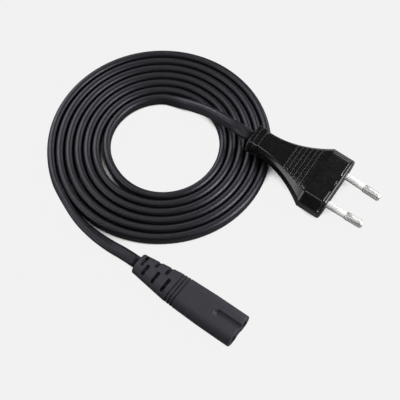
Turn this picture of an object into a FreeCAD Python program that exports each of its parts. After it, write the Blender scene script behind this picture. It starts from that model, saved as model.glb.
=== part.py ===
# Mains lead: a figure-eight connector, a coil of flat twin cord and a flat two-pin plug.
# Millimetres. The connector lies on the table along +X with its sockets facing +X, and the
# origin is under its middle, on the table.
import FreeCAD, Part
import math
import os

# Connector housing, one soft moulding round the inner carrier and the end of the cord
connector_length = 56.0
housing_width = 16.6
housing_height = 8.2
engagement_length = 17.0
grip_length = 31.0
grip_rear_width = 15.8
front_edge_chamfer = 0.45
waist_groove_width = 4.2
waist_groove_depth = 1.35
waist_groove_length = 14.5

# Three thin grooves round the housing behind the grip
ring_count = 3
ring_pitch = 1.75
ring_groove_width = 0.75
ring_groove_depth = 0.55

# Flex relief: a taper with staggered slots, ending in a short collar. The slots leave a core,
# and a web that joins the core to the two sides. The first slot is closed at both ends.
relief_front_width = 15.2
relief_front_height = 8.0
relief_rear_width = 10.6
relief_rear_height = 7.0
collar_length = 1.2
collar_edge_chamfer = 0.6
slot_count = 6
slot_width_share = 0.6
slot_near_end = 0.4
slot_far_end = 1.9
slot_first_reach = 1.2
slot_side_wall = 1.6
slot_core_width = 7.4
slot_core_height = 4.6
slot_web_height = 1.6
slot_side_notch = 0.4

# Inner carrier with its two contact sleeves
socket_spacing = 8.6
carrier_width = 13.6
carrier_height = 4.8
socket_entry_radius = 1.5
socket_entry_length = 1.2
sleeve_outer_radius = 1.75
socket_radius = 1.22
sleeve_depth = 12.5
sleeve_end_wall = 0.8
crimp_outer_radius = 1.25
crimp_length = 4.5
strand_radius = 0.55
core_radius = 1.1
connector_core_run = 9.5

# Flat twin cord and the places it passes, chosen along its route
cord_width = 6.2
cord_thickness = 3.8
core_spacing = 2.3
cord_edge_flats = 3
corner_share = 0.45
tail_points = [
    (-36.0, 0.0, 4.1),
    (-44.5, -1.2, 3.0),
    (-53.5, -1.8, 2.1),
    (-63.0, -1.2, 2.0),
    (-71.5, 1.2, 2.0),
]
crossing_points = [
    (-65.0, 84.2, 3.4),
    (-58.0, 84.5, 6.3),
    (-50.0, 84.2, 9.9),
    (-41.0, 83.4, 12.4),
]

# Coil of the cord, standing on its narrow edge, wound inwards clockwise from above
coil_turns = 6.305
coil_pitch = 4.52
coil_outer_radius = 55.9
coil_start_angle = 237.0
coil_outer_centre = (-60.4, 59.1)
coil_inner_centre = (-59.6, 58.6)
coil_oval_angle = 36.5
coil_oval_outer = -1.23
coil_oval_inner = -0.66
coil_arcs = 12
tail_end_shift = 1.3
crossing_end_shift = 2.2
tail_end_lift = 0.15
crossing_end_lift = 0.3
tail_lead_run = 8.0
crossing_lead_run = 5.5
plug_lead_run = 8.0

# Flat two-pin plug, lying with its front edge on the table and its neck over the coil
plug_rear_place = (-23.0, 83.0)
plug_turn = 3.0
plug_tilt = 7.3
plug_length = 48.0
plug_face_width = 35.3
plug_face_height = 13.7
plug_face_flat = 26.1
plug_face_side = 4.5
plug_block_length = 12.0
plug_face_chamfer = 0.8
neck_width = 12.8
neck_height = 8.2
neck_flat_width = 9.6
neck_side_height = 4.0
neck_start = 41.5
trumpet_sections = 6
grip_groove_count = 6
grip_groove_first = 15.2
grip_groove_pitch = 2.2
grip_groove_width = 0.95
grip_groove_depth = 0.6
plug_collar_length = 5.2
plug_collar_margin = 0.6
plug_collar_groove_width = 0.8
plug_collar_groove_depth = 0.5
plug_neck_groove_width = 1.1

# Pins of the plug, held in a hard bridge
pin_spacing = 18.6
pin_tip_spacing = 17.5
pin_length = 19.0
pin_radius = 2.0
pin_shank_radius = 1.3
pin_inner_length = 9.0
pin_tail_radius = 1.5
pin_tail_length = 4.5
pin_end_chamfer = 0.9
pin_sleeve_radius = 1.75
pin_sleeve_length = 10.0
pin_sleeve_seat = 2.0
bridge_width = 26.4
bridge_height = 8.4
bridge_depth = 8.0
jacket_in_plug = 14.0

# Sizes that follow from the ones above
Vector = FreeCAD.Vector
front_x = connector_length / 2.0
rear_x = -connector_length / 2.0
axis_height = housing_height / 2.0
ring_front_x = front_x - grip_length
ring_rear_x = ring_front_x - ring_pitch * ring_count
relief_front_x = ring_rear_x - ring_groove_width
relief_rear_x = rear_x + collar_length
slot_pitch = (relief_front_x - relief_rear_x) / slot_count
slot_width = slot_width_share * slot_pitch
carrier_length = socket_entry_length + sleeve_depth + sleeve_end_wall
carrier_rear_x = front_x - carrier_length
core_start_x = carrier_rear_x - crimp_length
jacket_end_x = core_start_x - connector_core_run
socket_y = socket_spacing / 2.0
core_y = core_spacing / 2.0
X_AXIS = Vector(1, 0, 0)
Z_AXIS = Vector(0, 0, 1)


def stadium(width, height, x, z=axis_height):
    """Outline across the X axis with straight top and bottom and round sides."""
    half_flat = (width - height) / 2.0
    radius = height / 2.0
    top_left = Vector(x, -half_flat, z + radius)
    top_right = Vector(x, half_flat, z + radius)
    bottom_right = Vector(x, half_flat, z - radius)
    bottom_left = Vector(x, -half_flat, z - radius)
    right = Part.Arc(top_right, Vector(x, half_flat + radius, z), bottom_right)
    left = Part.Arc(bottom_left, Vector(x, -half_flat - radius, z), top_left)
    top = Part.LineSegment(top_left, top_right)
    bottom = Part.LineSegment(bottom_right, bottom_left)
    return Part.Wire([top.toShape(), right.toShape(), bottom.toShape(), left.toShape()])


def stadium_bar(width, height, x_from, x_to, z=axis_height):
    face = Part.Face(stadium(width, height, x_from, z))
    return face.extrude(Vector(x_to - x_from, 0, 0))


def cord_outline(x, z):
    """Section of the flat twin cord; each round edge is made of equal flats."""
    half_flat = (cord_width - cord_thickness) / 2.0
    radius = cord_thickness / 2.0
    points = []
    for side in (1.0, -1.0):
        for flat in range(cord_edge_flats + 1):
            angle = math.pi * (0.5 - flat / cord_edge_flats)
            y = half_flat + radius * math.cos(angle)
            points.append(Vector(x, side * y, z + side * radius * math.sin(angle)))
    return Part.makePolygon(points + [points[0]])


def sheath_bar(x_from, x_to, z):
    face = Part.Face(cord_outline(x_from, z))
    return face.extrude(Vector(x_to - x_from, 0, 0))


def cylinder_x(radius, x_from, x_to, y=0.0, z=0.0):
    return Part.makeCylinder(radius, x_to - x_from, Vector(x_from, y, z), X_AXIS)


def sweep(face, points, name):
    """The face carried along straight runs joined by tangent arcs as large as the runs allow."""
    spans = []
    radii = []
    length = 0.0
    area = face.Area
    start = points[0]
    for before, corner, after in zip(points, points[1:], points[2:]):
        way_in = corner - before
        way_out = after - corner
        turn = way_in.getAngle(way_out)
        setback = corner_share * min(way_in.Length, way_out.Length)
        radius = setback / math.tan(turn / 2.0)
        radii.append(radius)
        way_in.normalize()
        way_out.normalize()
        run = corner - way_in * setback - start
        spans.append(face.extrude(run))
        face = face.translated(run)
        inward = way_out - way_in
        inward.normalize()
        centre = corner + inward * (radius / math.cos(turn / 2.0))
        axis = way_in.cross(way_out)
        spans.append(face.revolve(centre, axis, math.degrees(turn)))
        face = face.rotated(centre, axis, math.degrees(turn))
        start = corner + way_out * setback
        length += run.Length + radius * turn
    last_run = points[-1] - start
    spans.append(face.extrude(last_run))
    length += last_run.Length
    solid = spans[0].fuse(spans[1:]).removeSplitter()
    print(name, "bend radii", [round(radius, 1) for radius in radii], "length", round(length, 1),
          "volume share", round(solid.Volume / (area * length), 4))
    return solid


def relief_taper(inset):
    """The tapered part of the flex relief, shrunk all round by the inset."""
    double = 2.0 * inset
    rear = stadium(relief_rear_width - double, relief_rear_height - double, relief_rear_x)
    front = stadium(relief_front_width - double, relief_front_height - double, relief_front_x)
    return Part.makeLoft([rear, front], True, True)


def box_between(x_from, x_to, y_from, y_to, z_from, z_to):
    corner = Vector(x_from, min(y_from, y_to), min(z_from, z_to))
    return Part.makeBox(x_to - x_from, abs(y_to - y_from), abs(z_to - z_from), corner)


def slot_span(number, half_width):
    """Where a slot starts and ends across the relief, by turns on its two sides."""
    if number == 0:
        return -slot_first_reach, half_width - slot_side_wall
    if number % 2 == 0:
        return slot_far_end, half_width + slot_width
    return slot_near_end, slot_side_wall - half_width


def relief_slots():
    """Staggered slots in both faces of the relief, which let it bend."""
    core_top = slot_core_height / 2.0
    core_side = slot_core_width / 2.0
    web_top = slot_web_height / 2.0
    inner_taper = relief_taper(slot_side_notch)
    slots = []
    for number in range(slot_count):
        x_from = relief_rear_x + slot_pitch * (number + 0.5) - slot_width / 2.0
        x_to = x_from + slot_width
        share = (x_from - relief_rear_x) / (relief_front_x - relief_rear_x)
        width = relief_rear_width + share * (relief_front_width - relief_rear_width)
        y_from, y_to = slot_span(number, width / 2.0)
        for face in (1.0, -1.0):
            over_core = box_between(x_from, x_to, y_from, y_to, face * core_top, face * housing_height)
            beside_core = box_between(x_from, x_to, math.copysign(core_side, y_to), y_to,
                                      face * web_top, face * housing_height)
            slot = over_core
            if abs(y_to) > core_side:
                slot = over_core.fuse(beside_core)
            slots.append(slot.translated(Vector(0, 0, axis_height)))
        if y_to > width / 2.0:
            side = box_between(x_from, x_to, 0.0, y_to, 0.0, housing_height)
            slots.append(side.cut(inner_taper))
    return slots


def ring_grooves():
    grooves = []
    for number in range(ring_count):
        x = ring_front_x - ring_pitch * number - ring_groove_width
        share = (front_x - engagement_length - x) / (front_x - engagement_length - relief_front_x)
        width = housing_width + share * (relief_front_width - housing_width)
        ring_end = x + ring_groove_width
        around = stadium_bar(2.0 * housing_width, 2.0 * housing_height, x, ring_end)
        inner_width = width - 2.0 * ring_groove_depth
        inner_height = housing_height - 2.0 * ring_groove_depth
        grooves.append(around.cut(stadium_bar(inner_width, inner_height, x, ring_end)))
    return grooves


def waist_grooves():
    """The two grooves, running out to a point, that give the front its figure-eight outline."""
    radius = (waist_groove_width ** 2 / 4.0 + waist_groove_depth ** 2) / (2.0 * waist_groove_depth)
    grooves = []
    for side in (1.0, -1.0):
        z = axis_height + side * (axis_height + radius - waist_groove_depth)
        end_x = front_x - waist_groove_length
        groove = cylinder_x(radius, end_x + radius, front_x + 1.0, 0.0, z)
        run_out = Part.makeCone(0.0, radius, radius, Vector(end_x, 0.0, z), X_AXIS)
        grooves.append(groove.fuse(run_out))
    return grooves


def edges_at_x(shape, x):
    return [edge for edge in shape.Edges if abs(edge.BoundBox.XMin - x) < 0.01
            and abs(edge.BoundBox.XMax - x) < 0.01]


def connector_housing():
    stations = [
        (relief_rear_width, relief_rear_height, rear_x),
        (relief_rear_width, relief_rear_height, relief_rear_x),
        (relief_front_width, relief_front_height, relief_front_x),
        (grip_rear_width, housing_height, ring_front_x),
        (housing_width, housing_height, front_x - engagement_length),
        (housing_width, housing_height, front_x),
    ]
    wires = [stadium(width, height, x) for width, height, x in stations]
    housing = Part.makeLoft(wires, True, True)
    housing = housing.makeChamfer(front_edge_chamfer, edges_at_x(housing, front_x))
    housing = housing.makeChamfer(collar_edge_chamfer, edges_at_x(housing, rear_x))
    for cut in waist_grooves() + ring_grooves() + relief_slots():
        housing = housing.cut(cut)
    return housing.removeSplitter()


def contact_carrier():
    carrier = stadium_bar(carrier_width, carrier_height, carrier_rear_x, front_x)
    seat_front_x = front_x - socket_entry_length
    for y in (-socket_y, socket_y):
        entry = cylinder_x(socket_entry_radius, seat_front_x, front_x, y, axis_height)
        seat = cylinder_x(sleeve_outer_radius, carrier_rear_x, seat_front_x, y, axis_height)
        carrier = carrier.cut(entry).cut(seat)
    return carrier


def contact_sleeve(y):
    """A drawn brass socket with a crimp barrel behind it."""
    mouth_x = front_x - socket_entry_length
    sleeve = cylinder_x(sleeve_outer_radius, carrier_rear_x, mouth_x, y, axis_height)
    bore = cylinder_x(socket_radius, carrier_rear_x + sleeve_end_wall, mouth_x, y, axis_height)
    barrel = cylinder_x(crimp_outer_radius, carrier_rear_x - crimp_length, carrier_rear_x, y, axis_height)
    wire_hole = cylinder_x(strand_radius, carrier_rear_x - crimp_length, carrier_rear_x, y, axis_height)
    return sleeve.cut(bore).fuse(barrel.cut(wire_hole))


def connector_strand(y):
    return cylinder_x(strand_radius, core_start_x, carrier_rear_x, y, axis_height)


def splayed_core(crimp_point, crimp_axis, sheath_point):
    """One insulated core, straight from a crimp to the end of the cord's sheath."""
    crimp_end = Part.Wire(Part.Circle(crimp_point, crimp_axis, core_radius).toShape())
    sheath_end = Part.Wire(Part.Circle(sheath_point, X_AXIS, core_radius).toShape())
    return Part.makeLoft([crimp_end, sheath_end], True, True)


def connector_core(side):
    crimp_point = Vector(core_start_x, side * socket_y, axis_height)
    sheath_point = Vector(jacket_end_x, side * core_y, axis_height)
    return splayed_core(crimp_point, X_AXIS, sheath_point)


def coil_point(turn, offset=0.0):
    """A point of the coil's line after so many turns, moved outwards by the offset."""
    share = turn / coil_turns
    angle = math.radians(coil_start_angle - 360.0 * turn)
    oval = coil_oval_outer + share * (coil_oval_inner - coil_oval_outer)
    radius = coil_outer_radius - coil_pitch * turn + offset
    radius += oval * math.cos(2.0 * (angle - math.radians(coil_oval_angle)))
    x = coil_outer_centre[0] + share * (coil_inner_centre[0] - coil_outer_centre[0])
    y = coil_outer_centre[1] + share * (coil_inner_centre[1] - coil_outer_centre[1])
    return Vector(x + radius * math.cos(angle), y + radius * math.sin(angle), 0.0)


def coil_step(inner_turn, outer_turn):
    """Direction outwards along the step at an end of the coil, and the cord's heading there."""
    outwards = coil_point(outer_turn) - coil_point(inner_turn)
    outwards.normalize()
    return outwards, Vector(outwards.y, -outwards.x, 0.0)


def spiral_outline(first_turn, offset):
    """One whole turn as arcs, closed by a straight step."""
    half_steps = 2 * coil_arcs
    points = [coil_point(first_turn + step / half_steps, offset) for step in range(half_steps + 1)]
    arcs = []
    for number in range(coil_arcs):
        start, middle, end = points[2 * number:2 * number + 3]
        arcs.append(Part.Arc(start, middle, end).toShape())
    step_edge = Part.LineSegment(points[-1], points[0])
    return Part.Wire(arcs + [step_edge.toShape()])


def cord_coil():
    """The space of all the turns, with a step where the first and the last turn end."""
    outer = spiral_outline(0.0, cord_thickness / 2.0)
    inner = spiral_outline(coil_turns - 1.0, -cord_thickness / 2.0)
    ring = Part.Face(outer).cut(Part.Face(inner))
    return ring.extrude(Vector(0, 0, cord_width)).Solids[0]


def cord_tail():
    """From the end of the sheath inside the connector to the first turn of the coil."""
    half = cord_thickness / 2.0
    outwards, heading = coil_step(1.0, 0.0)
    coil_start = coil_point(0.0, half) + outwards * (tail_end_shift - half)
    coil_start.z = half + tail_end_lift
    points = [Vector(rear_x, 0.0, axis_height)]
    points += [Vector(*point) for point in tail_points]
    points += [coil_start - heading * tail_lead_run, coil_start]
    section = Part.Face(cord_outline(rear_x, axis_height))
    inside = sheath_bar(rear_x, jacket_end_x, axis_height)
    return sweep(section, points, "tail").fuse(inside).removeSplitter()


def plug_place():
    """Where the middle of the plug's face is, and how the plug is turned."""
    turn = FreeCAD.Rotation(Z_AXIS, plug_turn).multiply(FreeCAD.Rotation(Vector(0, 1, 0), plug_tilt))
    tilt = math.radians(plug_tilt)
    face_height = plug_face_height / 2.0 * math.cos(tilt) - plug_face_chamfer * math.sin(tilt)
    rear = turn.multVec(Vector(-plug_length, 0, 0))
    face = Vector(plug_rear_place[0] - rear.x, plug_rear_place[1] - rear.y, face_height)
    return FreeCAD.Placement(face, turn)


def cord_crossing():
    """From the end of the sheath inside the plug, over the turns, to the last turn of the coil."""
    half = cord_thickness / 2.0
    outwards, heading = coil_step(coil_turns, coil_turns - 1.0)
    place = plug_place()
    coil_end = coil_point(coil_turns, -half) + outwards * (half - crossing_end_shift)
    coil_end.z = half + crossing_end_lift
    after_coil = coil_end + heading * crossing_lead_run
    points = [place.multVec(Vector(-plug_length, 0, 0))]
    points.append(place.multVec(Vector(-plug_length - plug_lead_run, 0, 0)))
    points += [Vector(*point) for point in reversed(crossing_points)]
    points += [after_coil, coil_end]
    section = Part.Face(cord_outline(-plug_length, 0.0))
    section.Placement = place
    inside = plug_sheath()
    inside.Placement = place
    return sweep(section, points, "crossing").fuse(inside).removeSplitter()


def plug_sheath():
    return sheath_bar(-plug_length, -plug_length + jacket_in_plug, 0.0)


def octagon(x, half_width, half_height, half_flat, half_side):
    """Outline across the plug: flat top and bottom, upright sides and slanted corners."""
    corners = [
        (half_flat, half_height),
        (half_width, half_side),
        (half_width, -half_side),
        (half_flat, -half_height),
        (-half_flat, -half_height),
        (-half_width, -half_side),
        (-half_width, half_side),
        (-half_flat, half_height),
    ]
    points = [Vector(x, y, z) for y, z in corners]
    return Part.makePolygon(points + [points[0]])


def trumpet_section(share):
    """Section of the plug between its neck, at 0, and its block, at 1."""
    spread = share ** 2
    x = -neck_start + share * (neck_start - plug_block_length)
    half_width = (neck_width + spread * (plug_face_width - neck_width)) / 2.0
    half_height = (neck_height + share ** 3 * (plug_face_height - neck_height)) / 2.0
    half_flat = (neck_flat_width + spread * (plug_face_flat - neck_flat_width)) / 2.0
    half_side = (neck_side_height + spread * (plug_face_side - neck_side_height)) / 2.0
    return x, half_width, half_height, half_flat, half_side


def plug_prism(section, x_from, x_to, margin=0.0):
    x, half_width, half_height, half_flat, half_side = section
    grown = (half_width + margin, half_height + margin, half_flat + margin, half_side)
    face = Part.Face(octagon(x_from, *grown))
    return face.extrude(Vector(x_to - x_from, 0, 0))


def plug_moulding():
    """The plug's soft body: face block, trumpet-shaped grip, neck groove and collar."""
    sections = [trumpet_section(step / trumpet_sections) for step in range(trumpet_sections + 1)]
    trumpet = Part.makeLoft([octagon(*section) for section in sections], True, False)
    block = plug_prism(sections[-1], -plug_block_length, 0.0)
    block = block.makeChamfer(plug_face_chamfer, edges_at_x(block, 0.0))
    neck = sections[0]
    collar_x = -plug_length + plug_collar_length
    collar = plug_prism(neck, -plug_length, collar_x, plug_collar_margin)
    groove_x = collar_x + plug_neck_groove_width
    groove_core = plug_prism(neck, collar_x, groove_x, -plug_collar_groove_depth)
    between = plug_prism(neck, groove_x, -neck_start)
    body = block.fuse([trumpet, between, groove_core, collar])
    middle_x = -plug_length + plug_collar_length / 2.0 - plug_collar_groove_width / 2.0
    band = plug_prism(neck, middle_x, middle_x + plug_collar_groove_width, 3.0)
    band_core = plug_prism(neck, middle_x, middle_x + plug_collar_groove_width,
                           plug_collar_margin - plug_collar_groove_depth)
    body = body.cut(band.cut(band_core))
    for number in range(grip_groove_count):
        x = -grip_groove_first - grip_groove_pitch * number
        share = (x + neck_start) / (neck_start - plug_block_length)
        half_height = trumpet_section(share)[2]
        for side in (1.0, -1.0):
            z_inner = side * (half_height - grip_groove_depth)
            z_low = min(z_inner, side * plug_face_height)
            z_length = abs(side * plug_face_height - z_inner)
            corner = Vector(x - grip_groove_width / 2.0, -plug_face_width, z_low)
            body = body.cut(Part.makeBox(grip_groove_width, 2.0 * plug_face_width, z_length, corner))
    return body.removeSplitter()


def pin_frame(side):
    """A pin's own line: from the face, leaning a little towards the other pin."""
    lean = math.degrees(math.atan2((pin_spacing - pin_tip_spacing) / 2.0, pin_length))
    return FreeCAD.Placement(Vector(0, side * pin_spacing / 2.0, 0), FreeCAD.Rotation(Z_AXIS, -side * lean))


def plug_pin(side):
    head = cylinder_x(pin_radius, pin_sleeve_length, pin_length)
    head = head.makeChamfer(pin_end_chamfer, edges_at_x(head, pin_length))
    shank = cylinder_x(pin_shank_radius, -pin_inner_length, pin_sleeve_length)
    tail = cylinder_x(pin_tail_radius, -pin_inner_length - pin_tail_length, -pin_inner_length)
    wire_hole = cylinder_x(strand_radius, -pin_inner_length - pin_tail_length, -pin_inner_length)
    pin = shank.fuse([head, tail]).cut(wire_hole)
    pin.Placement = pin_frame(side)
    return pin


def plug_pin_sleeve(side):
    sleeve = cylinder_x(pin_sleeve_radius, -pin_sleeve_seat, pin_sleeve_length)
    sleeve = sleeve.cut(cylinder_x(pin_shank_radius, -pin_sleeve_seat, pin_sleeve_length))
    sleeve.Placement = pin_frame(side)
    return sleeve


def plug_strand(side):
    strand = cylinder_x(strand_radius, -pin_inner_length - pin_tail_length, -pin_inner_length)
    strand.Placement = pin_frame(side)
    return strand


def plug_core(side):
    frame = pin_frame(side)
    crimp_point = frame.multVec(Vector(-pin_inner_length - pin_tail_length, 0, 0))
    crimp_axis = frame.Rotation.multVec(X_AXIS)
    sheath_point = Vector(-plug_length + jacket_in_plug, side * core_y, 0)
    return splayed_core(crimp_point, crimp_axis, sheath_point)


def pin_bridge():
    return stadium_bar(bridge_width, bridge_height, -bridge_depth, 0.0, 0.0)


def cut_all(body, pieces):
    for piece in pieces:
        body = body.cut(piece)
    return body


def build():
    """Every piece by name, each in its place."""
    pieces = {}
    sides = (("left", 1.0), ("right", -1.0))
    for name, side in sides:
        pieces["contact_sleeve_" + name] = contact_sleeve(side * socket_y)
        pieces["connector_wire_end_" + name] = connector_strand(side * socket_y)
        pieces["connector_core_" + name] = connector_core(side)
    carrier = contact_carrier()
    carrier_space = stadium_bar(carrier_width, carrier_height, carrier_rear_x, front_x + 1.0)
    sheath_space = sheath_bar(rear_x - 1.0, jacket_end_x, axis_height)
    housing = cut_all(connector_housing(), [carrier_space, sheath_space] + list(pieces.values()))
    pieces["connector_housing"] = housing
    pieces["contact_carrier"] = carrier
    pieces["cord_tail"] = cord_tail()
    pieces["cord_coil"] = cord_coil()

    held = {}
    for name, side in sides:
        held["plug_pin_" + name] = plug_pin(side)
        held["pin_sleeve_" + name] = plug_pin_sleeve(side)
        held["plug_wire_end_" + name] = plug_strand(side)
        held["plug_core_" + name] = plug_core(side)
    bridge = pin_bridge()
    body = cut_all(plug_moulding(), [bridge, plug_sheath()] + list(held.values()))
    held["pin_bridge"] = cut_all(bridge, list(held.values()))
    held["plug_body"] = body
    place = plug_place()
    for name, shape in held.items():
        shape.Placement = place.multiply(shape.Placement)
        pieces[name] = shape
    pieces["cord_crossing"] = cord_crossing()
    return pieces


os.makedirs("parts", exist_ok=True)
for node, shape in build().items():
    shape.exportStep("parts/" + node + ".step")
    box = shape.BoundBox
    print(node, "solids", len(shape.Solids), "valid", shape.isValid(), "volume", round(shape.Volume, 1),
          "z", round(box.ZMin, 2), round(box.ZMax, 2))
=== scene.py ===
import math

import bmesh
import bpy
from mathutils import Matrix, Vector


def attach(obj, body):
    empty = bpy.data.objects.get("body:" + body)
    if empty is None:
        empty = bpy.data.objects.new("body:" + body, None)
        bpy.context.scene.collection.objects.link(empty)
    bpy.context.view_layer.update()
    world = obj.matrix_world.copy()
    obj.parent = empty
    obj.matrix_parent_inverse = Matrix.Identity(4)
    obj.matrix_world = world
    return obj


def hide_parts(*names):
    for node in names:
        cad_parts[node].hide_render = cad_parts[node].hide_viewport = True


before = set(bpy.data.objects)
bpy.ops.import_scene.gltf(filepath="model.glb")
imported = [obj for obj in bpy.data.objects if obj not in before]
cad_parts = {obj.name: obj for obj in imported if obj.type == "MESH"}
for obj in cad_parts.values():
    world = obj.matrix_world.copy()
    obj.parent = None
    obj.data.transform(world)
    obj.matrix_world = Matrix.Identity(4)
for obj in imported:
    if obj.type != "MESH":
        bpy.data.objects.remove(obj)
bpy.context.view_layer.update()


# The viewpoint. The lead is seen from the front left of the connector, from well above, so that
# the coil reads as a ring and the connector points to the lower right of the picture.
view_target = Vector((-0.0269, 0.0456, 0.0))
view_distance = 0.430
view_azimuth = math.radians(36.53)
view_elevation = math.radians(59.5)
towards_viewer = Vector((math.sin(view_azimuth) * math.cos(view_elevation),
                         -math.cos(view_azimuth) * math.cos(view_elevation),
                         math.sin(view_elevation)))
camera_data = bpy.data.cameras.new("viewpoint")
camera_data.sensor_width = 36.0
camera_data.lens = 80.5
camera_data.clip_start = 0.01
camera = bpy.data.objects.new("viewpoint", camera_data)
camera.location = view_target + towards_viewer * view_distance
camera.rotation_euler = (-towards_viewer).to_track_quat("-Z", "Y").to_euler()
bpy.context.scene.collection.objects.link(camera)
bpy.context.scene.camera = camera
bpy.context.scene.view_settings.view_transform = "Standard"


# The cord. A flat twin cord of soft black sheath, extruded over two cores, 6.2 mm wide and
# 3.8 mm thick. It leaves the connector lying flat, rolls onto its edge, runs six turns and a
# third inwards, and rolls back flat as it climbs over the turns to the plug. Where the first turn
# leaves the coil, the next ones lean out after it, and the last one springs inwards.
cord_width = 0.0062
cord_thickness = 0.0038
coil_turns = 6.305
coil_pitch = 0.00452
coil_outer_radius = 0.0559
coil_start_angle = math.radians(237.0)
coil_outer_centre = Vector((-0.0604, 0.0591, 0.0))
coil_inner_centre = Vector((-0.0596, 0.0586, 0.0))
coil_oval_angle = math.radians(36.5)
coil_oval_outer = -0.00123
coil_oval_inner = -0.00066
# turns, and how far the cord leans outwards there
turn_leans = ((0.93, 0.00103), (1.94, 0.0008), (2.95, 0.0006), (3.96, 0.0006), (4.97, 0.0008),
              (5.97, -0.0008))
lean_reach = 0.085
points_per_turn = 18
on_edge_height = cord_width / 2.0
connector_exit = (-0.028, 0.0, 0.0041)
tail_route = [
    connector_exit,
    (-0.0360, 0.0000, 0.0041),
    (-0.0445, -0.0007, 0.0036),
    (-0.0535, -0.0005, 0.0033),
    (-0.0630, 0.0007, 0.0031),
    (-0.0715, 0.0032, 0.0031),
    (-0.0797, 0.0067, 0.0031),
]
crossing_route = [
    (-0.0712, 0.0832, 0.0033),
    (-0.0650, 0.0845, 0.0045),
    (-0.0580, 0.0846, 0.0072),
    (-0.0500, 0.0842, 0.0105),
    (-0.0410, 0.0834, 0.0126),
    (-0.0309, 0.0826, 0.0138),
    (-0.0230, 0.0830, 0.0128),
]


def coil_point(turn):
    """Middle of the cord after so many turns, wound inwards and clockwise from above."""
    share = turn / coil_turns
    angle = coil_start_angle - 2.0 * math.pi * turn
    oval = coil_oval_outer + share * (coil_oval_inner - coil_oval_outer)
    radius = coil_outer_radius - coil_pitch * turn
    radius += oval * math.cos(2.0 * (angle - coil_oval_angle))
    for place, lean in turn_leans:
        radius += lean * math.exp(-((turn - place) / lean_reach) ** 2)
    # a smooth line through control points passes inside them, by this factor on a circle
    radius /= math.cos(math.pi / points_per_turn)
    centre = coil_outer_centre.lerp(coil_inner_centre, share)
    return (centre.x + radius * math.cos(angle), centre.y + radius * math.sin(angle),
            on_edge_height)


coil_steps = round(coil_turns * points_per_turn)
cord_route = list(tail_route)
for step in range(coil_steps + 1):
    cord_route.append(coil_point(coil_turns * step / coil_steps))
cord_route += crossing_route

cord_line = bpy.data.curves.new("cord_line", "CURVE")
cord_line.dimensions = "3D"
cord_line.resolution_u = 6
cord_spline = cord_line.splines.new("NURBS")
cord_spline.points.add(len(cord_route) - 1)
for spline_point, place in zip(cord_spline.points, cord_route):
    spline_point.co = (*place, 1.0)
cord_spline.order_u = 3
cord_spline.use_endpoint_u = True
line_object = bpy.data.objects.new("cord_line", cord_line)
bpy.context.scene.collection.objects.link(line_object)
line_mesh = bpy.data.meshes.new_from_object(line_object)
cord_path = [vertex.co.copy() for vertex in line_mesh.vertices]
bpy.data.objects.remove(line_object)
bpy.data.meshes.remove(line_mesh)

cord_distance = [0.0]
for before, after in zip(cord_path, cord_path[1:]):
    cord_distance.append(cord_distance[-1] + (after - before).length)
cord_length = cord_distance[-1]


def smooth_step(value):
    value = min(1.0, max(0.0, value))
    return value * value * (3.0 - 2.0 * value)


# The cord lies flat at both ends and stands on its edge in the coil. Over the turns it leans,
# half way between the two.
tail_roll_length = 0.058
tail_roll_start = 0.001
crossing_lean = 0.74
crossing_lean_length = 0.014
crossing_coil_end = 0.044
crossing_roll_length = 0.012


def cord_roll(distance):
    rising = smooth_step((distance - tail_roll_start) / tail_roll_length)
    left = cord_length - distance
    leaning = crossing_lean * smooth_step(left / crossing_roll_length)
    standing = smooth_step((left - crossing_coil_end) / crossing_lean_length)
    standing *= 1.0 - crossing_lean
    return math.pi / 2.0 * min(rising, leaning + standing)


def flat_cord_section(round_steps=9, flat_steps=3):
    """Points round the cord: straight wide faces and fully round edges."""
    half_flat = (cord_width - cord_thickness) / 2.0
    radius = cord_thickness / 2.0
    points = []
    for side in (1.0, -1.0):
        for step in range(round_steps + 1):
            angle = side * (math.pi / 2.0) - side * math.pi * step / round_steps
            points.append((side * half_flat + side * radius * abs(math.cos(angle)),
                           radius * math.sin(angle)))
        for step in range(1, flat_steps):
            across = -side * half_flat * 2.0 * step / flat_steps + side * half_flat
            points.append((across, -side * radius))
    return points


map_step = 0.001


def skin(name, rings, distances=None, caps=True):
    """A skin over rings of the same number of points, closed by caps or left open, with its map
    along and around it."""
    mesh = bpy.data.meshes.new(name)
    shape = bmesh.new()
    map_layer = shape.loops.layers.uv.new("along_and_around")
    rows = [[shape.verts.new(point) for point in ring] for ring in rings]
    count = len(rows[0])
    if distances is None:
        distances = [map_step * number for number in range(len(rows))]
    for number, (row, following) in enumerate(zip(rows, rows[1:])):
        near, far = distances[number], distances[number + 1]
        for index in range(count):
            other = (index + 1) % count
            face = shape.faces.new((row[index], row[other], following[other], following[index]))
            left, right = index / count, (index + 1) / count
            corners = ((near, left), (near, right), (far, right), (far, left))
            for loop, place in zip(face.loops, corners):
                loop[map_layer].uv = place
            face.smooth = True
    if caps:
        shape.faces.new(list(reversed(rows[0])))
        shape.faces.new(rows[-1])
    bmesh.ops.recalc_face_normals(shape, faces=shape.faces)
    shape.to_mesh(mesh)
    shape.free()
    piece = bpy.data.objects.new(name, mesh)
    bpy.context.scene.collection.objects.link(piece)
    return piece


cord_section = flat_cord_section()
cord_rings = []
for index, middle in enumerate(cord_path):
    before = cord_path[max(index - 1, 0)]
    after = cord_path[min(index + 1, len(cord_path) - 1)]
    heading = (after - before).normalized()
    left = Vector((-heading.y, heading.x, 0.0)).normalized()
    upwards = heading.cross(left)
    roll = cord_roll(cord_distance[index])
    wide = left * math.cos(roll) + upwards * math.sin(roll)
    thin = upwards * math.cos(roll) - left * math.sin(roll)
    cord_rings.append([middle + wide * across + thin * up for across, up in cord_section])
cord = skin("flat_cord", cord_rings, cord_distance)


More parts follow.
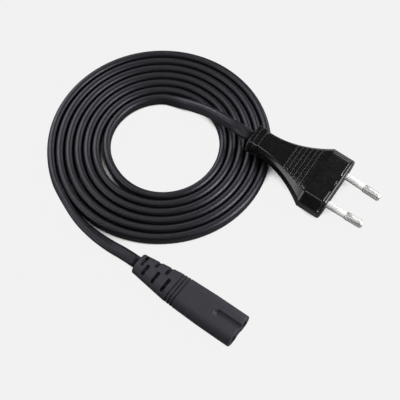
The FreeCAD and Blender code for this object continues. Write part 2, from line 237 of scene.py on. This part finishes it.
def new_group(name, inputs, outputs):
    """An empty shader group with named inputs and outputs."""
    group = bpy.data.node_groups.new(name, "ShaderNodeTree")
    for socket_name, kind, value in inputs:
        socket = group.interface.new_socket(name=socket_name, in_out="INPUT", socket_type=kind)
        socket.default_value = value
    for socket_name, kind in outputs:
        group.interface.new_socket(name=socket_name, in_out="OUTPUT", socket_type=kind)
    return group, group.nodes.new("NodeGroupInput"), group.nodes.new("NodeGroupOutput")


def add_node(tree, kind, **settings):
    node = tree.nodes.new(kind)
    for name, value in settings.items():
        setattr(node, name, value)
    return node


# A soft moulded or extruded plastic is never quite even: its tone and its gloss drift over a few
# millimetres, and the tool leaves a grain much finer than that.
plastic_skin, skin_in, skin_out = new_group(
    "plastic_skin",
    [("Dark Tone", "NodeSocketColor", (0.01, 0.01, 0.01, 1.0)),
     ("Light Tone", "NodeSocketColor", (0.02, 0.02, 0.02, 1.0)),
     ("Low Gloss", "NodeSocketFloat", 0.5),
     ("High Gloss", "NodeSocketFloat", 0.4),
     ("Grain Scale", "NodeSocketFloat", 6000.0)],
    [("Tone", "NodeSocketColor"),
     ("Gloss", "NodeSocketFloat"),
     ("Grain", "NodeSocketFloat")])
skin_place = add_node(plastic_skin, "ShaderNodeTexCoord")
skin_drift = add_node(plastic_skin, "ShaderNodeTexNoise")
skin_drift.inputs["Scale"].default_value = 140.0
skin_drift.inputs["Detail"].default_value = 3.0
skin_tone = add_node(plastic_skin, "ShaderNodeMix", data_type="RGBA")
skin_smear = add_node(plastic_skin, "ShaderNodeTexNoise")
skin_smear.inputs["Scale"].default_value = 420.0
skin_smear.inputs["Detail"].default_value = 4.0
skin_gloss = add_node(plastic_skin, "ShaderNodeMapRange")
skin_gloss.inputs["From Min"].default_value = 0.35
skin_gloss.inputs["From Max"].default_value = 0.65
skin_grain = add_node(plastic_skin, "ShaderNodeTexNoise")
skin_grain.inputs["Detail"].default_value = 2.0
for source, target in (
        (skin_place.outputs["Object"], skin_drift.inputs["Vector"]),
        (skin_place.outputs["Object"], skin_smear.inputs["Vector"]),
        (skin_place.outputs["Object"], skin_grain.inputs["Vector"]),
        (skin_in.outputs["Grain Scale"], skin_grain.inputs["Scale"]),
        (skin_drift.outputs["Fac"], skin_tone.inputs["Factor"]),
        (skin_in.outputs["Dark Tone"], skin_tone.inputs["A"]),
        (skin_in.outputs["Light Tone"], skin_tone.inputs["B"]),
        (skin_smear.outputs["Fac"], skin_gloss.inputs["Value"]),
        (skin_in.outputs["Low Gloss"], skin_gloss.inputs["To Min"]),
        (skin_in.outputs["High Gloss"], skin_gloss.inputs["To Max"]),
        (skin_tone.outputs["Result"], skin_out.inputs["Tone"]),
        (skin_gloss.outputs["Result"], skin_out.inputs["Gloss"]),
        (skin_grain.outputs["Fac"], skin_out.inputs["Grain"])):
    plastic_skin.links.new(source, target)


def finish(name, dark, light, rough, smooth, grain_scale, grain_depth,
           shine=(1.0, 1.0, 1.0), specular=0.5, metallic=0.0):
    """A material of two close tones and two close roughnesses, with a fine grain of that depth."""
    material = bpy.data.materials.new(name)
    material.use_nodes = True
    tree = material.node_tree
    shader = tree.nodes["Principled BSDF"]
    shader.inputs["Specular Tint"].default_value = (*shine, 1.0)
    shader.inputs["Specular IOR Level"].default_value = specular
    shader.inputs["Metallic"].default_value = metallic
    surface = add_node(tree, "ShaderNodeGroup", node_tree=plastic_skin, name="surface")
    surface.inputs["Dark Tone"].default_value = (*dark, 1.0)
    surface.inputs["Light Tone"].default_value = (*light, 1.0)
    surface.inputs["Low Gloss"].default_value = rough
    surface.inputs["High Gloss"].default_value = smooth
    surface.inputs["Grain Scale"].default_value = grain_scale
    relief = add_node(tree, "ShaderNodeBump", name="relief")
    relief.inputs["Strength"].default_value = 0.5
    relief.inputs["Distance"].default_value = grain_depth
    tree.links.new(surface.outputs["Tone"], shader.inputs["Base Color"])
    tree.links.new(surface.outputs["Gloss"], shader.inputs["Roughness"])
    tree.links.new(surface.outputs["Grain"], relief.inputs["Height"])
    tree.links.new(relief.outputs["Normal"], shader.inputs["Normal"])
    return material


def paint(piece, material):
    piece.data.materials.clear()
    piece.data.materials.append(material)


def draw_lines(material, lines_along, lines_around, line_depth):
    """Faint lines along the cord, which the extruder's die leaves in the sheath."""
    tree = material.node_tree
    place = add_node(tree, "ShaderNodeUVMap", uv_map="along_and_around")
    stretch = add_node(tree, "ShaderNodeMapping")
    stretch.inputs["Scale"].default_value = (lines_along, lines_around, 1.0)
    lines = add_node(tree, "ShaderNodeTexNoise")
    lines.inputs["Scale"].default_value = 1.0
    lines.inputs["Detail"].default_value = 1.0
    relief = add_node(tree, "ShaderNodeBump")
    relief.inputs["Strength"].default_value = 0.6
    relief.inputs["Distance"].default_value = line_depth
    fine_relief = tree.nodes["relief"]
    tree.links.new(place.outputs["UV"], stretch.inputs["Vector"])
    tree.links.new(stretch.outputs["Vector"], lines.inputs["Vector"])
    tree.links.new(lines.outputs["Fac"], relief.inputs["Height"])
    tree.links.new(fine_relief.outputs["Normal"], relief.inputs["Normal"])
    tree.links.new(relief.outputs["Normal"], tree.nodes["Principled BSDF"].inputs["Normal"])


bluish_shine = (0.88, 0.86, 1.0)
cord_sheath = finish("cord_sheath", (0.0048, 0.0045, 0.0060), (0.0075, 0.0070, 0.0092),
                     rough=0.49, smooth=0.42, grain_scale=5000.0, grain_depth=0.000003,
                     shine=bluish_shine, specular=0.65)
draw_lines(cord_sheath, lines_along=2.0, lines_around=60.0, line_depth=0.00003)
paint(cord, cord_sheath)
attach(cord, "root")
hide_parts("cord_tail", "cord_coil", "cord_crossing")


# The connector's outer moulding. Soft dark grey plastic shot round the hard carrier and the end
# of the cord: a plain nose and grip with a groove along both faces, three thin grooves round it,
# and a tapered flex relief whose slots, cut in from its two sides in turn, leave a core and a web.
mm = 0.001
connector_front = 28.0
connector_rear = -28.0
connector_axis = 4.1
relief_rear = -26.8
relief_front = -9.0
grip_rear = -3.0
grip_front = 11.0
# places along the moulding, with its half width and half height there
housing_stations = [
    (connector_rear, 5.3, 3.5),
    (relief_rear, 5.3, 3.5),
    (relief_front, 7.6, 4.0),
    (grip_rear, 7.9, 4.1),
    (grip_front, 8.3, 4.1),
    (connector_front, 8.3, 4.1),
]
ring_places = [-3.375, -5.125, -6.875]
ring_half_width = 0.375
ring_depth = 0.55
slot_count = 6
slot_pitch = (relief_front - relief_rear) / slot_count
slot_centres = [relief_rear + slot_pitch * (number + 0.5) for number in range(slot_count)]
slot_half_width = 0.89
slot_edge_width = 0.16
slot_edge_inside = 0.096
slot_far_end = 2.4
slot_near_end = -0.1
slot_first_end = -0.4
slot_side_wall = 2.2
edge_half_width = 0.08
web_half_height = 0.8
web_notch = 0.4
core_half_width = 3.7
core_half_height = 2.3
waist_radius = 2.308
waist_depth = 1.35
waist_end = 14.3
waist_softness = 0.25
front_round = 0.5
collar_round = 0.6
cord_hole_half_width = 3.10
cord_hole_half_height = 1.90
cord_hole_lip = 0.20
cord_hole_draft = 0.02
cord_hole_lip_depth = 0.15
cord_hole_depth = 1.5
mouth_lip = 0.06
mouth_lip_depth = 0.1
mouth_depth = 1.5
carrier_half_width = 6.8
carrier_half_height = 2.4


def housing_size(x):
    """Half width and half height of the moulding at a place along it."""
    for (x_from, width_from, height_from), (x_to, width_to, height_to) in zip(
            housing_stations, housing_stations[1:]):
        if x <= x_to:
            share = max(0.0, (x - x_from) / (x_to - x_from))
            return (width_from + share * (width_to - width_from),
                    height_from + share * (height_to - height_from))
    return housing_stations[-1][1:]


def edge_share(inside, half_width=edge_half_width):
    """From 0 to 1 across a groove's soft edge, for a distance inwards from that edge."""
    return smooth_step((inside + half_width) / (2.0 * half_width))


def ring_inset(x):
    return ring_depth * max(edge_share(ring_half_width - abs(x - place)) for place in ring_places)


def outline_height(y, half_width, half_height):
    """Height of a flat shape with round sides above its middle, at a distance from its middle."""
    beyond = abs(y) - (half_width - half_height)
    if beyond <= 0.0:
        return half_height
    return math.sqrt(max(0.0, half_height ** 2 - beyond ** 2))


def slot_span(number, half_width):
    """Where the middle of a slot's round ends is. The first slot is closed at both ends, and the
    others start by turns on the two sides; those of the far side run out through it."""
    inside_wall = half_width - slot_side_wall
    if number == 0:
        return slot_first_end, inside_wall
    if number % 2 == 0:
        return slot_far_end, 2.0 * half_width
    return -inside_wall, slot_near_end


def slot_share(x, y, half_width):
    """How far a place is inside a slot: 0 on the land, 1 on the slot's floor."""
    share = 0.0
    for number, centre in enumerate(slot_centres):
        first, last = slot_span(number, half_width)
        outside = math.hypot(x - centre, y - min(last, max(first, y))) - slot_half_width
        share = max(share, smooth_step((slot_edge_inside - outside) / slot_edge_width))
    return share


def waist_height(x, y, half_height):
    """Height of the floor of the groove along the nose, or far above where there is none."""
    spare = waist_radius ** 2 - y ** 2
    if x < waist_end + waist_radius:
        spare -= (waist_end + waist_radius - x) ** 2
    if spare <= 0.0:
        return 2.0 * half_height
    return half_height + waist_radius - waist_depth - math.sqrt(spare)


def soft_lower(first, second, softness):
    """The lower of two heights, with a rounded corner where they meet."""
    share = max(0.0, softness - abs(first - second)) / softness
    return min(first, second) - share * share * softness / 4.0


middle_reach = 3.9
middle_step = 0.15
side_steps = 16


def housing_section(x, inset=0.0):
    """Points round the moulding, from its middle, with its slots and grooves."""
    half_width, half_height = housing_size(x)
    inset += ring_inset(x)
    half_width -= inset
    half_height -= inset
    middle_count = round(2.0 * middle_reach / middle_step)
    places = [middle_reach - middle_step * number for number in range(middle_count + 1)]
    edge = [middle_reach + (half_width - middle_reach) * math.sin(math.pi / 2.0 * step / side_steps)
            for step in range(side_steps, 0, -1)]
    across = edge + places + [-y for y in reversed(edge)]
    points = []
    for face in (1.0, -1.0):
        row = across if face > 0.0 else list(reversed(across))[1:-1]
        for y in row:
            height = outline_height(y, half_width, half_height)
            share = slot_share(x, y, half_width)
            if share > 0.0:
                floor = web_half_height
                if abs(y) < core_half_width:
                    floor = max(floor, outline_height(y, core_half_width, core_half_height))
                height += share * (min(height, floor) - height)
                y = math.copysign(min(abs(y), half_width - web_notch * share), y)
            if x > waist_end:
                height = soft_lower(height, waist_height(x, y, half_height), waist_softness)
            points.append((y, face * height))
    return points


def housing_ring(x, section):
    return [Vector((x, y, connector_axis + z)) * mm for y, z in section]


def drawn_in(section, half_width, half_height):
    """The points of a section drawn in to a smaller flat outline with round sides."""
    flat = half_width - half_height
    drawn = []
    for y, z in section:
        angle = math.atan2(z, y)
        over, up = math.cos(angle), math.sin(angle)
        if abs(half_height * over) <= flat * abs(up):
            reach = half_height / abs(up)
        else:
            reach = flat * abs(over) + math.sqrt(max(0.0, half_height ** 2 - (flat * up) ** 2))
        drawn.append((reach * over, reach * up))
    return drawn


def spaced(first, step, count):
    return [first + step * number for number in range(count)]


def moulding(name, ring, section, rear, front, rear_round, front_round, places, mouth):
    """A soft moulding: a hole for the cord, a rounded rear, its length, a rounded front and the
    mouth that holds the hard piece."""
    back = section(rear)
    face = section(front)
    rings = []
    for depth, wider in ((cord_hole_depth, 0.0), (cord_hole_lip_depth, cord_hole_draft),
                         (0.0, cord_hole_lip)):
        hole = drawn_in(back, cord_hole_half_width + wider, cord_hole_half_height + wider)
        rings.append(ring(rear + depth, hole))
    for angle in round_angles:
        inset = rear_round * (1.0 - math.sin(angle))
        rings.append(ring(rear + rear_round * (1.0 - math.cos(angle)), section(rear, inset)))
    rings += [ring(x, section(x)) for x in places]
    for angle in round_angles:
        inset = front_round * (1.0 - math.cos(angle))
        rings.append(ring(front - front_round * (1.0 - math.sin(angle)), section(front, inset)))
    for depth, wider in ((0.0, mouth_lip), (mouth_lip_depth, 0.0), (mouth_depth, 0.0)):
        rings.append(ring(front - depth, drawn_in(face, mouth[0] + wider, mouth[1] + wider)))
    return skin(name, rings, caps=False)


round_steps = 5
round_angles = [math.pi / 2.0 * step / round_steps for step in range(round_steps + 1)]
groove_offsets = (-0.14, -0.08, -0.04, 0.0, 0.04, 0.08, 0.14)
slot_offsets = (-0.30, -0.16, -0.08, -0.02, 0.04, 0.12, 0.30, 0.55)
# where the rings of points are: close together at every edge, and wider apart between them
housing_places = [relief_rear, relief_front, grip_rear, grip_front, 12.4, 13.6]
for centre in slot_centres:
    housing_places += [centre - slot_half_width + offset for offset in slot_offsets] + [centre]
    housing_places += [centre + slot_half_width - offset for offset in slot_offsets]
for centre in ring_places:
    for offset in groove_offsets:
        housing_places += [centre - ring_half_width + offset, centre + ring_half_width - offset]
housing_places += spaced(-2.0, 1.3, 10) + spaced(waist_end, 0.16, 16) + spaced(17.5, 1.4, 7)
housing_places = sorted(set(round(place, 4) for place in housing_places))
housing = moulding("connector_moulding", housing_ring, housing_section,
                   connector_rear, connector_front, collar_round, front_round, housing_places,
                   mouth=(carrier_half_width, carrier_half_height))
housing_plastic = finish("connector_plastic", (0.024, 0.0235, 0.0285), (0.033, 0.032, 0.0385),
                         rough=0.66, smooth=0.52, grain_scale=7000.0, grain_depth=0.00006,
                         shine=bluish_shine)
paint(housing, housing_plastic)
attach(housing, "root")
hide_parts("connector_housing")


# Inside the connector. A hard black carrier holds two drawn brass sockets, whose crimp barrels
# grip the bare copper ends of a brown and a blue core. Only the carrier's front face shows.
carrier_plastic = finish("carrier_plastic", (0.016, 0.016, 0.018), (0.024, 0.024, 0.026),
                         rough=0.50, smooth=0.40, grain_scale=9000.0, grain_depth=0.00002)
contact_brass = finish("contact_brass", (0.68, 0.50, 0.21), (0.76, 0.58, 0.28),
                       rough=0.34, smooth=0.24, grain_scale=3000.0, grain_depth=0.00001,
                       metallic=1.0)
copper = finish("bare_copper", (0.66, 0.30, 0.16), (0.78, 0.40, 0.24),
                rough=0.42, smooth=0.30, grain_scale=4000.0, grain_depth=0.00004, metallic=1.0)
brown_core = finish("brown_core", (0.14, 0.055, 0.022), (0.20, 0.085, 0.036),
                    rough=0.46, smooth=0.36, grain_scale=5000.0, grain_depth=0.00002)
blue_core = finish("blue_core", (0.022, 0.10, 0.36), (0.036, 0.14, 0.46),
                   rough=0.46, smooth=0.36, grain_scale=5000.0, grain_depth=0.00002)
for node, material in (("contact_carrier", carrier_plastic),
                       ("contact_sleeve_left", contact_brass),
                       ("contact_sleeve_right", contact_brass),
                       ("connector_wire_end_left", copper), ("connector_wire_end_right", copper),
                       ("connector_core_left", brown_core), ("connector_core_right", blue_core)):
    paint(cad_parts[node], material)


# The plug's outer moulding. Glossier black plastic: an eight-sided block with the pins, a
# trumpet-shaped grip with six grooves across both faces, a neck groove and a grooved collar.
plug_turn = math.radians(3.0)
plug_tilt = math.radians(7.3)
plug_rear_place = (-23.0, 83.0)
plug_length = 48.0
block_length = 12.0
neck_start = 41.5
collar_length = 5.2
collar_margin = 0.6
collar_front = -plug_length + collar_length
collar_middle = -plug_length + collar_length / 2.0
collar_groove_half_width = 0.4
neck_groove_width = 1.1
neck_groove_depth = 0.5
# half width, half height, half flat and half side of the section, at the face and at the neck
face_size = (17.65, 6.85, 13.05, 2.25)
neck_size = (6.4, 4.1, 4.8, 2.0)
size_powers = (2, 3, 2, 2)
grip_groove_places = spaced(-15.2, -2.2, 6)
grip_groove_half_width = 0.475
grip_groove_depth = 0.6
grip_edge_half_width = 0.24
plug_corner_round = 0.9
plug_front_round = 1.3
plug_face_chamfer = 0.8
collar_edge_round = 0.6
flat_inset_share = 0.6
corner_reach = 0.42
corner_points = 4
side_points = (5, 4, 5, 14, 5, 4, 5, 14)
bridge_half_width = 13.2
bridge_half_height = 4.2


def plug_point(x, y, z):
    """A place on the plug, from the middle of its face, as a place on the table."""
    lean_x = x * math.cos(plug_tilt) + z * math.sin(plug_tilt)
    lean_z = -x * math.sin(plug_tilt) + z * math.cos(plug_tilt)
    turned_x = lean_x * math.cos(plug_turn) - y * math.sin(plug_turn)
    turned_y = lean_x * math.sin(plug_turn) + y * math.cos(plug_turn)
    rear_reach = plug_length * math.cos(plug_tilt)
    face_x = plug_rear_place[0] + rear_reach * math.cos(plug_turn)
    face_y = plug_rear_place[1] + rear_reach * math.sin(plug_turn)
    face_z = face_size[1] * math.cos(plug_tilt) - plug_face_chamfer * math.sin(plug_tilt)
    return Vector((face_x + turned_x, face_y + turned_y, face_z + lean_z)) * mm


def plug_size(x):
    """Half width, half height, half flat and half side of the plug's section."""
    share = min(1.0, max(0.0, (x + neck_start) / (neck_start - block_length)))
    margin = collar_margin * edge_share(collar_front - x)
    neck_groove = edge_share(x - collar_front) * edge_share(collar_front + neck_groove_width - x)
    collar_groove = edge_share(collar_groove_half_width - abs(x - collar_middle))
    margin -= neck_groove_depth * (neck_groove + collar_groove)
    return [neck + share ** power * (face - neck) + margin
            for neck, face, power in zip(neck_size, face_size, size_powers)]


def grip_groove(x):
    return grip_groove_depth * max(
        edge_share(grip_groove_half_width - abs(x - place), grip_edge_half_width)
        for place in grip_groove_places)


def plug_section(x, inset=0.0):
    """Points round the plug, from its middle: eight sides with rounded corners."""
    half_width, half_height, half_flat, half_side = plug_size(x)
    half_width -= inset
    half_height -= inset
    half_flat -= inset * flat_inset_share
    corners = [(half_flat, half_height), (half_width, half_side), (half_width, -half_side),
               (half_flat, -half_height), (-half_flat, -half_height), (-half_width, -half_side),
               (-half_width, half_side), (-half_flat, half_height)]
    corners = [Vector(corner) for corner in corners]
    rounds = []
    for number, corner in enumerate(corners):
        following = corners[(number + 1) % 8]
        shorter = min((corners[number - 1] - corner).length, (following - corner).length)
        rounds.append(min(plug_corner_round, corner_reach * shorter))
    limit = half_height - grip_groove(x)
    points = []
    for number, corner in enumerate(corners):
        following = corners[(number + 1) % 8]
        to_before = (corners[number - 1] - corner).normalized() * rounds[number]
        to_after = (following - corner).normalized() * rounds[number]
        for step in range(corner_points):
            share = step / corner_points
            points.append(corner + to_before * (1.0 - share) ** 2 + to_after * share ** 2)
        last = following - (following - corner).normalized() * rounds[(number + 1) % 8]
        for step in range(side_points[number]):
            points.append((corner + to_after).lerp(last, step / side_points[number]))
    return [(y, math.copysign(min(abs(z), limit), z)) for y, z in points]


def plug_ring(x, section):
    return [plug_point(x, y, z) for y, z in section]


grip_offsets = (-0.30, -0.24, -0.18, -0.12, -0.06, 0.0, 0.06, 0.12, 0.18, 0.24, 0.32)
plug_places = spaced(-plug_length + collar_edge_round, 0.5, 3)
for offset in groove_offsets:
    plug_places += [collar_middle - collar_groove_half_width + offset,
                    collar_middle + collar_groove_half_width + offset,
                    collar_front + offset, collar_front + neck_groove_width + offset]
for place in grip_groove_places:
    for offset in grip_offsets:
        plug_places += [place - grip_groove_half_width + offset,
                        place + grip_groove_half_width - offset]
plug_places += spaced(-neck_start, 0.9, 33) + spaced(-block_length, 1.2, 10)
plug_places = sorted(set(round(place, 3) for place in plug_places))
plug = moulding("plug_moulding", plug_ring, plug_section,
                -plug_length, 0.0, collar_edge_round, plug_front_round, plug_places,
                mouth=(bridge_half_width, bridge_half_height))
plug_plastic = finish("plug_plastic", (0.0030, 0.0030, 0.0033), (0.0050, 0.0050, 0.0053),
                      rough=0.27, smooth=0.21, grain_scale=5000.0, grain_depth=0.000002,
                      specular=0.7)
paint(plug, plug_plastic)
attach(plug, "root")
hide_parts("plug_body")


# The pins. Solid round pins of nickel-plated brass, 4 mm thick with domed ends, held by their
# flanks in a hard black bridge. A pale sleeve covers the half of each pin beside the plug, so
# that no finger meets live metal. They lean a little towards each other.
pin_spacing = 18.6
pin_tip_spacing = 17.5
pin_length = 19.0
pin_radius = 2.0
pin_dome = 1.3
pin_shank_radius = 1.3
pin_sleeve_radius = 1.75
pin_sleeve_length = 10.0
pin_inside = 2.0
sleeve_inside = 1.5
dome_steps = 8
pin_round_points = 40


def pin_rings(side, profile):
    """Rings of a pin's turned profile, given as places along it and radii."""
    lean = -side * math.atan2((pin_spacing - pin_tip_spacing) / 2.0, pin_length)
    rings = []
    for along, radius in profile:
        ring = []
        for step in range(pin_round_points):
            angle = 2.0 * math.pi * step / pin_round_points
            out = radius * math.cos(angle)
            x = along * math.cos(lean) - out * math.sin(lean)
            y = side * pin_spacing / 2.0 + along * math.sin(lean) + out * math.cos(lean)
            ring.append(plug_point(x, y, radius * math.sin(angle)))
        rings.append(ring)
    return rings


# places along the pin and the sleeve, with the radius there
pin_profile = [(-pin_inside, pin_shank_radius),
               (pin_sleeve_length - 0.06, pin_shank_radius),
               (pin_sleeve_length - 0.05, pin_radius - 0.2),
               (pin_sleeve_length + 0.02, pin_radius - 0.07),
               (pin_sleeve_length + 0.12, pin_radius),
               (pin_sleeve_length + 3.0, pin_radius),
               (pin_length - pin_dome - 2.0, pin_radius)]
for step in range(dome_steps + 1):
    angle = math.pi / 2.0 * step / dome_steps
    pin_profile.append((pin_length - pin_dome * (1.0 - math.sin(angle)),
                        pin_radius - pin_dome * (1.0 - math.cos(angle))))
sleeve_profile = [(-sleeve_inside, pin_shank_radius),
                  (-sleeve_inside, pin_sleeve_radius),
                  (0.0, pin_sleeve_radius),
                  (4.0, pin_sleeve_radius),
                  (pin_sleeve_length - 0.2, pin_sleeve_radius),
                  (pin_sleeve_length - 0.06, pin_sleeve_radius - 0.06),
                  (pin_sleeve_length - 0.02, pin_sleeve_radius - 0.2),
                  (pin_sleeve_length - 0.02, pin_shank_radius)]
pin_nickel = finish("pin_nickel", (0.86, 0.85, 0.83), (0.93, 0.92, 0.90),
                    rough=0.50, smooth=0.42, grain_scale=2500.0, grain_depth=0.000002,
                    metallic=1.0)
sleeve_plastic = finish("sleeve_plastic", (0.84, 0.84, 0.83), (0.90, 0.90, 0.89),
                        rough=0.36, smooth=0.28, grain_scale=4000.0, grain_depth=0.000002)
pins = []
for name, side in (("left", 1.0), ("right", -1.0)):
    pin = skin("pin_" + name, pin_rings(side, pin_profile))
    paint(pin, pin_nickel)
    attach(pin, "root")
    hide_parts("plug_pin_" + name)
    sleeve = skin("sleeve_" + name, pin_rings(side, sleeve_profile), caps=False)
    paint(sleeve, sleeve_plastic)
    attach(sleeve, "root")
    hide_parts("pin_sleeve_" + name)
    pins += [pin, sleeve]


# Inside the plug. The bridge is a hard black block; the cores run from the pins' tails to the
# end of the sheath, and the moulding closes round all of it. Only the bridge's face shows.
bridge_plastic = finish("bridge_plastic", (0.014, 0.014, 0.016), (0.022, 0.022, 0.024),
                        rough=0.46, smooth=0.38, grain_scale=9000.0, grain_depth=0.00002)
for node, material in (("pin_bridge", bridge_plastic),
                       ("plug_core_left", brown_core), ("plug_core_right", blue_core),
                       ("plug_wire_end_left", copper), ("plug_wire_end_right", copper)):
    paint(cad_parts[node], material)


# The table and the light. A plain pale table, whose glow in view is darkened by painted shade
# down in the gaps beside the cord, and six soft lights round it: window and back light on the
# turns' tops, left and front light on the flanks, right and groove light on the pins and on the
# far edges of the plug's grooves.
half_table = 1.5
table_colour = 0.25
table_glow = 0.905
table_glow_share = 0.97
table_roughness = 0.9
# Painted shade in the gaps beside the cord: how near the cord must be, and the ambient occlusion
# below which the table's glow is fully dark and above which it is full.
gap_shade_reach = 0.012
gap_shade_full_below = 0.20
gap_shade_none_above = 0.38
room_glow_in_view = 0.92
room_glow = 0.05
table_mesh = bpy.data.meshes.new("table")
table_shape = bmesh.new()
table_corners = [(-half_table, -half_table, 0.0), (half_table, -half_table, 0.0),
                 (half_table, half_table, 0.0), (-half_table, half_table, 0.0)]
table_shape.faces.new([table_shape.verts.new(corner) for corner in table_corners])
table_shape.to_mesh(table_mesh)
table_shape.free()
table = bpy.data.objects.new("table", table_mesh)
bpy.context.scene.collection.objects.link(table)
table_white = bpy.data.materials.new("table_white")
table_white.use_nodes = True
table_tree = table_white.node_tree
table_shader = table_tree.nodes["Principled BSDF"]
table_shader.inputs["Base Color"].default_value = (table_colour, table_colour, table_colour, 1.0)
table_shader.inputs["Roughness"].default_value = table_roughness
table_ray = add_node(table_tree, "ShaderNodeLightPath")
table_glow_and_painted_shade = add_node(table_tree, "ShaderNodeEmission")
table_glow_and_painted_shade.inputs["Color"].default_value = (table_glow, table_glow, table_glow, 1.0)
table_blend = add_node(table_tree, "ShaderNodeMixShader")
table_share = add_node(table_tree, "ShaderNodeMath", operation="MULTIPLY")
table_share.inputs[1].default_value = table_glow_share
# Painted shade: the table's glow in view is dimmed wherever ambient occlusion finds the cord close
# by.
table_painted_gap_shade = add_node(table_tree, "ShaderNodeAmbientOcclusion")
table_painted_gap_shade.inputs["Distance"].default_value = gap_shade_reach
table_painted_shade_ramp = add_node(table_tree, "ShaderNodeMapRange", interpolation_type="SMOOTHSTEP")
table_painted_shade_ramp.inputs["From Min"].default_value = gap_shade_full_below
table_painted_shade_ramp.inputs["From Max"].default_value = gap_shade_none_above
table_tree.links.new(table_painted_gap_shade.outputs["AO"], table_painted_shade_ramp.inputs["Value"])
table_tree.links.new(table_painted_shade_ramp.outputs["Result"], table_glow_and_painted_shade.inputs["Strength"])
table_tree.links.new(table_ray.outputs["Is Camera Ray"], table_share.inputs[0])
table_tree.links.new(table_share.outputs["Value"], table_blend.inputs["Fac"])
table_tree.links.new(table_shader.outputs["BSDF"], table_blend.inputs[1])
table_tree.links.new(table_glow_and_painted_shade.outputs["Emission"], table_blend.inputs[2])
table_output = table_tree.nodes["Material Output"]
table_tree.links.new(table_blend.outputs["Shader"], table_output.inputs["Surface"])
paint(table, table_white)

world = bpy.data.worlds.new("room")
bpy.context.scene.world = world
world.use_nodes = True
room = world.node_tree.nodes["Background"]
room.inputs["Color"].default_value = (table_glow, table_glow, table_glow, 1.0)
room_ray = add_node(world.node_tree, "ShaderNodeLightPath")
room_strength = add_node(world.node_tree, "ShaderNodeMath", operation="MULTIPLY_ADD")
room_strength.inputs[1].default_value = room_glow_in_view
room_strength.inputs[2].default_value = room_glow
world.node_tree.links.new(room_ray.outputs["Is Camera Ray"], room_strength.inputs[0])
world.node_tree.links.new(room_strength.outputs["Value"], room.inputs["Strength"])


def soft_light(name, place, aim, size, power):
    light_data = bpy.data.lights.new(name, "AREA")
    light_data.shape = "SQUARE"
    light_data.size = size
    light_data.energy = power
    light = bpy.data.objects.new(name, light_data)
    light.location = place
    light.rotation_euler = (Vector(aim) - Vector(place)).to_track_quat("-Z", "Y").to_euler()
    bpy.context.scene.collection.objects.link(light)


soft_light("window_light", place=(-0.50, 0.14, 0.36), aim=(-0.05, 0.05, 0.0),
           size=0.40, power=2.0)
soft_light("back_light", place=(0.12, 0.567, 0.28), aim=(-0.03, 0.05, 0.0),
           size=0.30, power=0.9)
soft_light("left_light", place=(-0.34, -0.34, 0.175), aim=(0.0, 0.07, 0.0),
           size=0.26, power=0.60)
soft_light("right_light", place=(0.24, 0.13, 0.16), aim=(0.035, 0.085, 0.007),
           size=0.10, power=0.58)
soft_light("groove_light", place=(0.235, 0.21, 0.15), aim=(0.0, 0.085, 0.012),
           size=0.15, power=0.42)
soft_light("front_light", place=(0.0, -0.17, 0.50), aim=(0.035, 0.085, 0.007),
           size=0.12, power=0.26)
